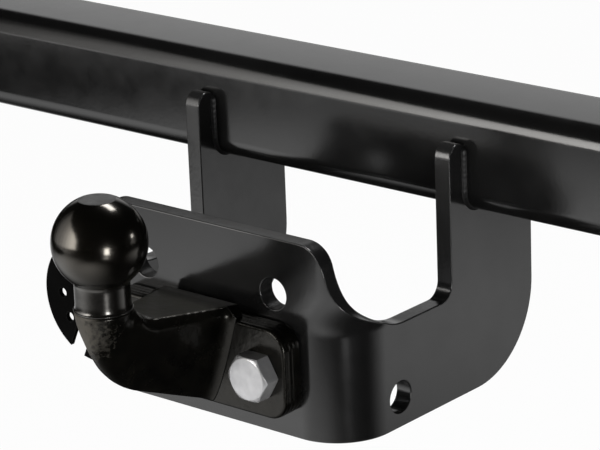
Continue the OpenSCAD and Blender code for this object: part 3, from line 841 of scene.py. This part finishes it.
def build_cheek_weld(side, name):
    """A bead on each face of a cheek: down its finger, round the tube's corner and on under the beam.

    Its first point runs along the corner itself, and the others cross its face."""
    bm = bmesh.new()
    for x, turn in ((CHEEK_X, 1), (CHEEK_X - PLATE_T, -1)):

        def place(i, station):
            at, out, s, size = station
            u, seed = (i - 1) / (BEAD_POINTS - 2), x * 40 + side
            leg, lift = bead(size, s, u, seed, CHEEK_RIPPLE) if i else (0, 0)
            flat = at + out * lift
            return (side * (x + turn * leg), flat.x, flat.y), (0, 0, 1)

        stations = bead_path()
        first = start_loop(bm, BEAD_POINTS, place, stations[0])
        last, _ = sweep(bm, first, stations[1:], place)
        close_ends(bm, first, last)
    bmesh.ops.recalc_face_normals(bm, faces=bm.faces)
    sharpen(bm, BEAD_CREASE)
    stand_for(to_object(bm, f"cheek_bead_{name}", [WELD_PAINT_AND_SHADE]), "weld_paint", f"bracket_weld_{name}")


for side, side_name in SIDES:
    build_end_weld(side, side_name)
    build_cheek_weld(side, side_name)


# Ball and neck, turned on a lathe

def corner(before, at, after, count=5):
    """A rounded corner of a profile."""
    return [before * (1 - t) ** 2 + at * 2 * t * (1 - t) + after * t * t for t in shares(count)]


def ball_profile():
    """Radius and height, from the middle of the flat down past the ring below the neck."""
    def on_ball(a):
        return Vector((BALL_R * math.sin(a), BALL_R * math.cos(a)))

    flat = math.asin(BALL_FLAT_R / BALL_R)
    under = math.pi - math.asin(NECK_R / BALL_R)
    flat_z = on_ball(flat).y
    neck_z = on_ball(under).y
    soft, lip = BALL_FLAT_EDGE, RING_LIP
    profile = [Vector((r, flat_z)) for r in (0, BALL_FLAT_R * 0.5, BALL_FLAT_R - 2 * soft)]
    profile += corner(Vector((BALL_FLAT_R - soft, flat_z)), on_ball(flat), on_ball(flat + soft / BALL_R))
    start, end, steps = flat + 2 * soft / BALL_R, under - NECK_FILLET / BALL_R, BALL_STEPS // 2
    profile += [on_ball(start + (end - start) * k / steps) for k in range(steps)]
    profile += corner(on_ball(end), on_ball(under), Vector((NECK_R, neck_z - NECK_FILLET)), 6)
    flare_start = RING_Z + FLARE_H
    profile += [Vector((NECK_R, z)) for z in (neck_z - 2 * NECK_FILLET, flare_start + soft)]
    profile += corner(Vector((NECK_R, flare_start)), Vector((NECK_R, RING_Z + 2 * lip)),
                      Vector((RING_R - lip, RING_Z + lip)), 10)
    profile += corner(Vector((RING_R - lip / 2, RING_Z + lip)), Vector((RING_R, RING_Z)),
                      Vector((RING_R - lip, RING_Z - lip)), 4)
    profile += [Vector((COLLAR_R - lip / 2, COLLAR_Z)), Vector((COLLAR_R - lip, COLLAR_Z - lip)),
                Vector((0, COLLAR_Z - lip))]
    return profile


def build_ball():
    """The ball and neck, with a worn flat on top and a duller neck."""
    bm = bmesh.new()
    verts = [bm.verts.new((p.x, 0, p.y)) for p in ball_profile()]
    edges = [bm.edges.new(pair) for pair in zip(verts, verts[1:])]
    bmesh.ops.spin(bm, geom=verts + edges, cent=(0, 0, 0), axis=(0, 0, 1), angle=2 * math.pi,
                   steps=BALL_STEPS, use_merge=True)
    bmesh.ops.remove_doubles(bm, verts=bm.verts, dist=1e-6)
    bmesh.ops.recalc_face_normals(bm, faces=bm.faces)
    top = math.sqrt(BALL_R ** 2 - BALL_FLAT_R ** 2) - HAIR
    neck_top = -math.sqrt(BALL_R ** 2 - NECK_R ** 2)
    for face in bm.faces:
        height = face.calc_center_median().z
        if height > top:
            face.material_index = 1
        elif height < neck_top:
            face.material_index = 2
    piece = to_object(bm, "turned_ball", [TURNED, WORN_TOP, TURNED_NECK])
    stand_for(piece, "ball_forging", "tow_ball")


# Forged arm and flange

def ease(t):
    """A soft share that reaches 1 at 1."""
    t = min(1, t)
    return t * t * (3 - 2 * t)


def arm_part(y):
    """Share of the arm's length that is passed at y."""
    return max(0, y - COLLAR_R) / (ARM_END - COLLAR_R)


def arm_top(y):
    return ROW_Z + ARM_TOP[0] - arm_part(y) * (ARM_TOP[0] - ARM_TOP[1])


def arm_side(y):
    return COLLAR_R + arm_part(y) * (ARM_SIDE_HALF - COLLAR_R)


def arm_flat(y):
    start = COLLAR_R - ARM_BEVEL
    return start + arm_part(y) * (ARM_FLAT_HALF - start)


def section(half_side, half_top, half_under, drop, keel, flat):
    """The arm's section: half widths and heights from -1 to 1, round the loop from the middle of its keel.

    keel and flat run from 0, where the section is round, to 1, where it has the forged shape."""
    def point(share, degrees, forged):
        a = math.radians(degrees)
        return Vector((half_side * math.cos(a), math.sin(a))).lerp(Vector(forged), share)

    half = [point(keel, -90 + (KEEL_END + 90) * u, (half_under * u, -1)) for u in shares(KEEL_STEPS)[:-1]]
    for u in shares(SIDE_STEPS):
        half.append(point(keel, KEEL_END + (BEVEL_LOW - KEEL_END) * u,
                          (half_under + (half_side - half_under) * u, -1 + (2 - drop) * u ** SIDE_POWER)))
    for u in shares(BEVEL_STEPS)[1:]:
        half.append(point(keel + (flat - keel) * u, BEVEL_LOW + (BEVEL_HIGH - BEVEL_LOW) * u,
                          (half_side + (half_top - half_side) * u, 1 - drop + drop * u)))
    for u in shares(FLAT_STEPS)[1:]:
        half.append(point(flat, BEVEL_HIGH + (90 - BEVEL_HIGH) * u, (half_top * (1 - u), 1)))
    return half + [Vector((-p.x, p.y)) for p in half[-2:0:-1]]


def ring(outer, inner, half_side, half_top, half_under, keel, flat):
    """Points of one section of the arm, between its outer and its inner end in Y and Z."""
    drop = 2 * ARM_BEVEL / (inner - outer).length
    made = []
    for across, height in section(half_side, half_top, half_under, drop, keel, flat):
        middle = outer.lerp(inner, (height + 1) / 2)
        made.append(Vector((across, middle.x, middle.y)))
    return made


def elbow_outer(degrees):
    """Y and Z of the elbow's outer curve."""
    a = math.radians(degrees)
    return Vector((ELBOW_L * (1 - math.cos(a)) - COLLAR_R, COLLAR_Z - ELBOW_H * math.sin(a)))


def elbow_ring(t):
    """The arm's elbow, from the round collar below the neck to the forged bar."""
    b = math.radians(ARM_INNER_TURN * t)
    y = COLLAR_R + ARM_INNER_R * (1 - math.cos(b))
    fall = (arm_top(ARM_START) + ARM_INNER_R - COLLAR_Z) * t
    inner = Vector((y, COLLAR_Z + fall - ARM_INNER_R * math.sin(b)))
    return ring(elbow_outer(ELBOW_TURN * t), inner, arm_side(y), arm_flat(y), KEEL_HALF,
                ease(t / KEEL_WHOLE), ease(t / FLAT_WHOLE))


def run_ring(t, blend):
    """The arm between elbow and flange, grown where it blends into the flange."""
    y = ARM_START + (FLANGE_Y - ARM_START) * t
    outer = elbow_outer(ELBOW_TURN).lerp(Vector((FLANGE_Y, ARM_BOTTOM)), t)
    under = KEEL_HALF + (ARM_UNDER_HALF - KEEL_HALF) * t + blend
    return ring(outer, Vector((y, arm_top(y))), arm_side(y) + blend, arm_flat(y) + blend * ARM_BLEND_TOP,
                under, 1, 1)


def end_ring(y, cut):
    """The arm's end inside the flange, with its upper corner cut."""
    return ring(Vector((y, ARM_BOTTOM)), Vector((y, arm_top(y) - cut)), arm_side(y) - cut,
                arm_flat(y) - cut, ARM_UNDER_HALF, 1, 1)


def hammered(point):
    """Depth of the slanted dressing marks along the bevel, and of the forging's own unevenness."""
    uneven = sum(depth * noise.noise(point * pitch) for pitch, depth in UNEVEN)
    below = arm_top(point.y) - point.z
    start, end = MARKS_Y
    if not (start < point.y < end and MARKS_START < below < ARM_BEVEL):
        return uneven
    shown = math.sin(math.pi * (point.y - start) / (end - start)) * math.sin(math.pi * below / ARM_BEVEL)
    along = point.y + MARK_SLANT * below
    return uneven + MARK_DEPTH * shown * math.sin(2 * math.pi * along / MARK_PITCH)


def build_forging():
    """The flange with the trimmed seam of its die on its edge, and the arm lofted from it to the neck."""
    holes = [circle_hole(x, ROW_Z, HOLE_R) for x in (-HOLE_PITCH / 2, HOLE_PITCH / 2)]
    seams = [station for seam in DIE_SEAMS for station in ridge(*seam)]
    outline = rounded_rectangle((0, FLANGE_Z), FLANGE_W, FLANGE_H, FLANGE_R, 5)
    bm = cut_plate(outline, holes, FLANGE_T, FLANGE_EDGE, steps=5, ridges=seams)
    onto_xz(bm, FLANGE_Y + FLANGE_T / 2)
    of_flange = set(bm.faces)
    blend = ARM_BLEND / (FLANGE_Y - ARM_START)
    rings = [elbow_ring(t) for t in shares(ELBOW_STEPS)]
    rings += [run_ring((1 - blend) * t, 0) for t in shares(RUN_STEPS)[1:]]
    for t in shares(BLEND_STEPS)[1:]:
        a = math.pi / 2 * t
        rings.append(run_ring(1 - blend * (1 - math.sin(a)), ARM_BLEND * (1 - math.cos(a))))
    rings += [end_ring(FLANGE_Y + ARM_REAR_EDGE, 0), end_ring(ARM_END - ARM_REAR_EDGE, 0),
              end_ring(ARM_END, ARM_REAR_EDGE)]
    known = set(bm.verts)

    def place(i, points):
        return points[i], (0, 0, 1)

    first = start_loop(bm, len(rings[0]), place, rings[0])
    last, _ = sweep(bm, first, rings[1:], place)
    close_ends(bm, first, last)
    bmesh.ops.recalc_face_normals(bm, faces=[f for f in bm.faces if f not in of_flange])
    held = {v for edge in first for v in edge.verts}
    moved = [v for v in bm.verts if v not in known and v not in held and v.co.y < FLANGE_Y - ARM_HELD]
    for _ in range(ARM_SMOOTHED):
        bmesh.ops.smooth_vert(bm, verts=moved, factor=0.5, use_axis_x=True, use_axis_y=True, use_axis_z=True)
    bm.normal_update()
    for vert in moved:
        vert.co += vert.normal * hammered(vert.co)
    bm.normal_update()
    normal = bm.verts.layers.float_vector["normal"]
    for vert in bm.verts:
        if vert not in known:
            vert[normal] = vert.normal
    # Up-facing faces of the arm take the dip that is painted lighter, as if lit from above
    for face in bm.faces:
        on_top = face.normal.z > TOP_FACE and face.calc_center_median().y > ARM_START
        face.material_index = int(face not in of_flange and on_top)
    piece = to_object(bm, "forged_arm", [FORGED, FORGED_FLAT_PAINTED_LIGHT], own_normals=True)
    stand_for(piece, "ball_forging", "tow_ball")


build_ball()
build_forging()


# Socket plate

def folded(point):
    """A point of the flat socket plate on the plate once its foot is folded forwards along the cheek."""
    u, v, height = point
    middle_r = FOLD_R - DISC_T / 2
    start = DISC_OUT - FOLD_R
    disc_x = -CHEEK_X - DISC_OUT
    rear = SOCKET_BOX[1].y
    fold_x, fold_y = disc_x + start, rear - FOLD_R
    radius = middle_r - height
    turn = (u - start) / middle_r
    v += CHEEK_HOLE[1]
    if turn <= 0:
        return Vector((disc_x + u, fold_y + radius, v))
    if turn <= math.pi / 2:
        return Vector((fold_x + radius * math.sin(turn), fold_y + radius * math.cos(turn), v))
    return Vector((fold_x + radius, fold_y - (turn - math.pi / 2) * middle_r, v))


def build_socket_plate():
    """A disc with its screw holes and the cable's slot, on a foot that is folded along the cheek."""
    foot_l = SOCKET_BOX[1].y - FOLD_R - SOCKET_BOX[0].y
    start = DISC_OUT - FOLD_R
    fold_l = (FOLD_R - DISC_T / 2) * math.pi / 2
    end = start + fold_l + foot_l
    shoulder = math.degrees(math.asin(FOOT_HALF / DISC_R))
    at_rim = math.degrees(math.asin(SLOT_HALF / DISC_R))
    at_hole = math.degrees(math.asin(SLOT_HALF / CABLE_HOLE_R))
    outline = arc((0, 0), DISC_R, shoulder, SLOT_ANGLE - at_rim)
    outline += arc((0, 0), CABLE_HOLE_R, SLOT_ANGLE - at_hole, SLOT_ANGLE + at_hole - 360)
    outline += arc((0, 0), DISC_R, SLOT_ANGLE + at_rim, 360 - shoulder)
    corner_x, corner_y = end - FOOT_CORNER_R, FOOT_HALF - FOOT_CORNER_R
    outline += arc((corner_x, -corner_y), FOOT_CORNER_R, -90, 0, 15)
    outline += arc((corner_x, corner_y), FOOT_CORNER_R, 0, 90, 15)
    holes = [circle_hole(SCREW_CIRCLE * math.cos(a), SCREW_CIRCLE * math.sin(a), SCREW_HOLE_R, 12)
             for a in radians(*SCREW_ANGLES)]
    foot_hole = start + fold_l + SOCKET_BOX[1].y - FOLD_R - CHEEK_HOLE[0]
    holes.append(circle_hole(foot_hole, 0, M10.thread / 2 + WASHER_GAP))
    bm = cut_plate(outline, holes, DISC_T, SHEET_EDGE)
    slice_mesh(bm, 0, [start + fold_l * t for t in shares(8)])
    reshape(bm, folded)
    piece = to_object(bm, "folded_socket_plate", [SOCKET_PAINT], own_normals=True)
    stand_for(piece, "socket_paint", "socket_plate")


build_socket_plate()


# Fasteners: each is drawn along its own axis from its seat, and placed by a matrix

def seat(place, out, turned_to):
    """Matrix of a fastener whose axis points out and whose first corner points another way."""
    z, x = Vector(out), Vector(turned_to)
    return Matrix.Translation(place) @ Matrix((x, z.cross(x), z)).transposed().to_4x4()


def lathe(bm, rings, where, open_ends=False):
    """A solid of rings round an axis. Each ring gives a radius and a height at an angle."""
    def place(i, ring_at):
        a = 2 * math.pi * i / LATHE_POINTS
        r, z = ring_at(a)
        return where @ Vector((r * math.cos(a), r * math.sin(a), z)), (0, 0, 1)

    first = start_loop(bm, LATHE_POINTS, place, rings[0])
    last, _ = sweep(bm, first, rings[1:], place)
    if open_ends:
        bmesh.ops.bridge_loops(bm, edges=first + last)
    else:
        close_ends(bm, first, last)


def level(r, z):
    """A round ring at one height."""
    return lambda a: (r, z)


def hex_side(across):
    """Radius of a hexagon's side at an angle, with its corners just broken."""
    corner_r = across / 2 / math.cos(math.pi / 6) - HEX_BREAK
    return lambda a: min(across / 2 / math.cos(a % (math.pi / 3) - math.pi / 6), corner_r)


def hex_rings(across, height):
    """Rings of a hexagon whose outer face is turned to a circle."""
    side, face = hex_side(across), across / 2 * TURNED_FACE
    slope = math.tan(math.pi / 6)
    soft = HAIR

    def shoulder(a):
        return side(a), height - (side(a) - face) * slope - soft

    return [lambda a: (side(a) - 2 * soft, 0), lambda a: (side(a), 2 * soft), shoulder,
            lambda a: (side(a) - 2 * soft, height - (side(a) - 2 * soft - face) * slope),
            level(face + soft, height - soft / 2), level(face - 2 * soft, height)]


def thread_rings(size, start, end):
    """Rings of a screw thread from one height down to another, tapered at its end."""
    radius, pitch = size.thread / 2, size.pitch
    depth = THREAD_DEPTH * pitch
    count = round((start - end) / pitch * THREAD_STEPS)

    def made(z):
        def ring_at(a):
            turn = (z / pitch + a / 2 / math.pi) % 1
            groove = depth * max(0, 1 - abs(2 * turn - 1) * THREAD_FLANK)
            return min(radius - groove, radius - BOLT_TIP + z - end), z
        return ring_at

    return [made(start + (end - start) * k / count) for k in range(count + 1)]


def bolt(bm, where, size, grip):
    """Hex bolt: a head on its seat, a plain shank below it and a thread at its end."""
    lathe(bm, hex_rings(size.flats, size.head), where)
    radius, end = size.thread / 2, -grip - BOLT_TIP
    thread_start = end + BOLT_END + BOLT_TIP + size.pitch
    lathe(bm, [level(radius, SHANK_IN_HEAD), level(radius, thread_start + HAIR)]
          + thread_rings(size, thread_start, end), where)


def washer(bm, where, size):
    r, core, top, soft = size.washer / 2, size.thread / 2 + WASHER_GAP, size.washer_t, 0.00025
    lathe(bm, [level(r - soft, 0), level(r, soft), level(r, top - soft), level(r - soft, top),
               level(core + soft, top), level(core, top - soft), level(core, soft), level(core + soft, 0)],
          where, open_ends=True)


def nut(bm, where, size):
    core, top, lead = size.thread / 2, size.nut, NUT_LEAD
    lathe(bm, hex_rings(size.flats, top) + [level(core + lead, top), level(core, top - lead),
                                            level(core, lead), level(core + lead, 0)], where, open_ends=True)


def build_fasteners(name, cad_node, make, places, *sizes):
    """All the bolts, washers or nuts of one CAD node."""
    bm = bmesh.new()
    for where in places:
        make(bm, where, *sizes)
    bmesh.ops.recalc_face_normals(bm, faces=bm.faces)
    sharpen(bm, METAL_CREASE)
    stand_for(to_object(bm, name, [ZINC]), "zinc", cad_node)


def build_ball_fasteners():
    plate_back = FACE_Y + PLATE_T
    grip = FLANGE_T + PLATE_T + M16.washer_t + M16.nut + BOLT_END

    def places(y, out):
        return [seat((x, y, ROW_Z), (0, out, 0), (1, 0, 0)) for x in (-HOLE_PITCH / 2, HOLE_PITCH / 2)]

    build_fasteners("flange_bolts", "ball_bolts", bolt, places(FLANGE_Y, -1), M16, grip)
    build_fasteners("flange_washers", "ball_washers", washer, places(plate_back, 1), M16)
    build_fasteners("flange_nuts", "ball_nuts", nut, places(plate_back + M16.washer_t, 1), M16)


def build_side_fasteners(side, name):
    grip = 2 * SIDE_T + M12.washer_t + M12.nut + BOLT_END
    outer = BEAM[1].x + 2 * SIDE_T

    def places(x, out):
        return [seat((side * x, y, z), (side * out, 0, 0), (0, 0, 1)) for y, z in end_bolt_places()]

    build_fasteners(f"arm_bolts_{name}", f"side_bolts_{name}", bolt, places(BEAM[1].x, -1), M12, grip)
    build_fasteners(f"arm_washers_{name}", f"side_washers_{name}", washer, places(outer, 1), M12)
    build_fasteners(f"arm_nuts_{name}", f"side_nuts_{name}", nut, places(outer + M12.washer_t, 1), M12)


def build_socket_fasteners():
    grip = DISC_T + PLATE_T + M10.washer_t + PENNY_WASHER.washer_t + M10.nut + BOLT_END
    sheet, inside = -CHEEK_X - DISC_T, PLATE_T - CHEEK_X

    def places(x, out):
        return [seat((x, *CHEEK_HOLE), (out, 0, 0), (0, 0, 1))]

    build_fasteners("cheek_bolt", "socket_bolt", bolt, places(sheet - M10.washer_t, -1), M10, grip)
    build_fasteners("cheek_washer", "socket_washers", washer, places(sheet, -1), M10)
    build_fasteners("cheek_penny_washer", "socket_washers", washer, places(inside, 1), PENNY_WASHER)
    build_fasteners("cheek_nut", "socket_nut", nut, places(inside + PENNY_WASHER.washer_t, 1), M10)


build_ball_fasteners()
for side, side_name in SIDES:
    build_side_fasteners(side, side_name)
build_socket_fasteners()


# Camera and studio

def place_camera():
    """The camera of the photograph, with its roll."""
    azimuth, elevation, roll = radians(*CAMERA_ANGLES)
    ahead = Vector((-math.sin(azimuth) * math.cos(elevation), math.cos(azimuth) * math.cos(elevation),
                    -math.sin(elevation)))
    across = Vector((math.cos(azimuth), math.sin(azimuth), 0))
    above = across.cross(ahead)
    right = math.cos(roll) * across + math.sin(roll) * above
    up = -math.sin(roll) * across + math.cos(roll) * above
    data = bpy.data.cameras.new("camera")
    data.sensor_width = 36
    data.lens = CAMERA_LENS
    data.clip_end = 200
    camera = link_object("camera", data)
    camera.matrix_world = Matrix((right, up, -ahead)).transposed().to_4x4()
    camera.location = CAMERA_AT
    bpy.context.scene.camera = camera


def fade(tree, point, centre, start, end, from_value, to_value):
    """A value that changes softly with the distance from a place on the floor."""
    return span(tree, distance(tree, point, (*centre, 0)), start, end, from_value, to_value,
                interpolation_type="SMOOTHSTEP")


def build_floor():
    """A white floor at road height, as the ball of a fitted towbar is about 400 mm up.

    The camera sees it evenly white. Gloss sees it glow with painted pools of light from the left and from
    behind, dimmed by painted shade, as in a dark studio."""
    bm = bmesh.new()
    bmesh.ops.create_grid(bm, x_segments=1, y_segments=1, size=FLOOR_HALF)
    bmesh.ops.translate(bm, verts=bm.verts, vec=(0, 0, FLOOR_Z))
    material = bpy.data.materials.new("pale floor")
    material.use_nodes = True
    tree = material.node_tree
    shader = tree.nodes["Principled BSDF"]
    shader.inputs["Base Color"].default_value = (*grey(FLOOR_WHITE), 1)
    shader.inputs["Roughness"].default_value = 0.9
    place = node(tree, "ShaderNodeTexCoord").outputs["Object"]
    point = node(tree, "ShaderNodeVectorMath", {0: place, 1: (1, 1, 0)}, operation="MULTIPLY").outputs[0]
    painted_light = 0.0
    # Painted pools of light in the floor's glow, which only gloss sees
    for centre, reach, strength in FLOOR_PAINTED_LIGHT:
        painted_light = math_node(tree, "ADD", fade(tree, point, centre, 0.0, reach, strength, 0.0), painted_light)
    # Painted shade in the floor's glow: under the object and far off to the left
    for centre, squeeze, core, edge in FLOOR_PAINTED_SHADE:
        squeezed = node(tree, "ShaderNodeVectorMath", {0: point, 1: (squeeze, 1, 1)}, operation="MULTIPLY")
        painted_shade = fade(tree, squeezed.outputs[0], (centre[0] * squeeze, centre[1]), core, edge, 0.0, 1.0)
        painted_light = math_node(tree, "MULTIPLY", painted_light, painted_shade)
    path = node(tree, "ShaderNodeLightPath")
    gloss = math_node(tree, "MAXIMUM", path.outputs["Is Glossy Ray"], path.outputs["Is Transmission Ray"])
    seen = math_node(tree, "MAXIMUM", path.outputs["Is Camera Ray"], gloss)
    strength = math_node(tree, "ADD", path.outputs["Is Camera Ray"], math_node(tree, "MULTIPLY", gloss, painted_light))
    glow = node(tree, "ShaderNodeEmission", {"Color": (1, 1, 1, 1), "Strength": strength})
    mix = node(tree, "ShaderNodeMixShader", {0: math_node(tree, "MULTIPLY", seen, FLOOR_GLOW),
                                             1: shader.outputs[0], 2: glow.outputs[0]})
    tree.links.new(mix.outputs[0], tree.nodes["Material Output"].inputs["Surface"])
    mesh = bpy.data.meshes.new("floor")
    bm.to_mesh(mesh)
    bm.free()
    mesh.materials.append(material)
    floor = link_object("floor", mesh)


def toward(azimuth, elevation):
    """Direction at an angle from +X towards +Y, and an angle above the horizon."""
    a, e = radians(azimuth, elevation)
    return Vector((math.cos(a) * math.cos(e), math.sin(a) * math.cos(e), math.sin(e)))


def build_world():
    """A dim studio with a white wall behind the object. The camera sees it white all round."""
    world = bpy.data.worlds.new("studio")
    bpy.context.scene.world = world
    world.use_nodes = True
    tree = world.node_tree
    back = tree.nodes["Background"]
    back.inputs["Color"].default_value = (1, 1, 1, 1)
    away = node(tree, "ShaderNodeTexCoord").outputs["Generated"]
    near = node(tree, "ShaderNodeVectorMath", {0: away, 1: toward(*WALL_AT)}, operation="DOT_PRODUCT")
    wall = span(tree, near.outputs["Value"], *WALL_EDGE, WORLD_DIM, WALL_GLOW)
    path = node(tree, "ShaderNodeLightPath")
    tree.links.new(math_node(tree, "MAXIMUM", path.outputs["Is Camera Ray"], wall), back.inputs["Strength"])


def softbox(name, place, facing, size, radiance, color=(1, 1, 1)):
    """A soft lamp that faces a point. Its power gives its face the radiance."""
    data = bpy.data.lights.new(name, "AREA")
    data.shape = "RECTANGLE"
    data.size, data.size_y = size
    data.energy = radiance * math.pi * size[0] * size[1]
    data.color = color
    lamp = link_object(name, data)
    lamp.location = place
    lamp.rotation_euler = (Vector(facing) - Vector(place)).to_track_quat("-Z", "Y").to_euler()
    lamp.visible_camera = False


def build_window():
    """The tall window left of the object, as strips that grow brighter towards the front."""
    near = WINDOW_NEAR
    for far, high, radiance in WINDOW_STRIPS:
        y, z = (near + far) / 2, (WINDOW_LOW + high) / 2
        size = (near - far, high - WINDOW_LOW)
        softbox("window", (WINDOW_X, y, z), (0, y, z), size, radiance, WINDOW_COLOR)
        near = far


place_camera()
build_floor()
build_world()
for lamp_name, direction, lamp_size, lamp_radiance in LAMPS:
    softbox(lamp_name, toward(*direction) * LAMP_AWAY, (0, 0, 0), lamp_size, lamp_radiance)
build_window()
bpy.context.scene.view_settings.view_transform = "Standard"
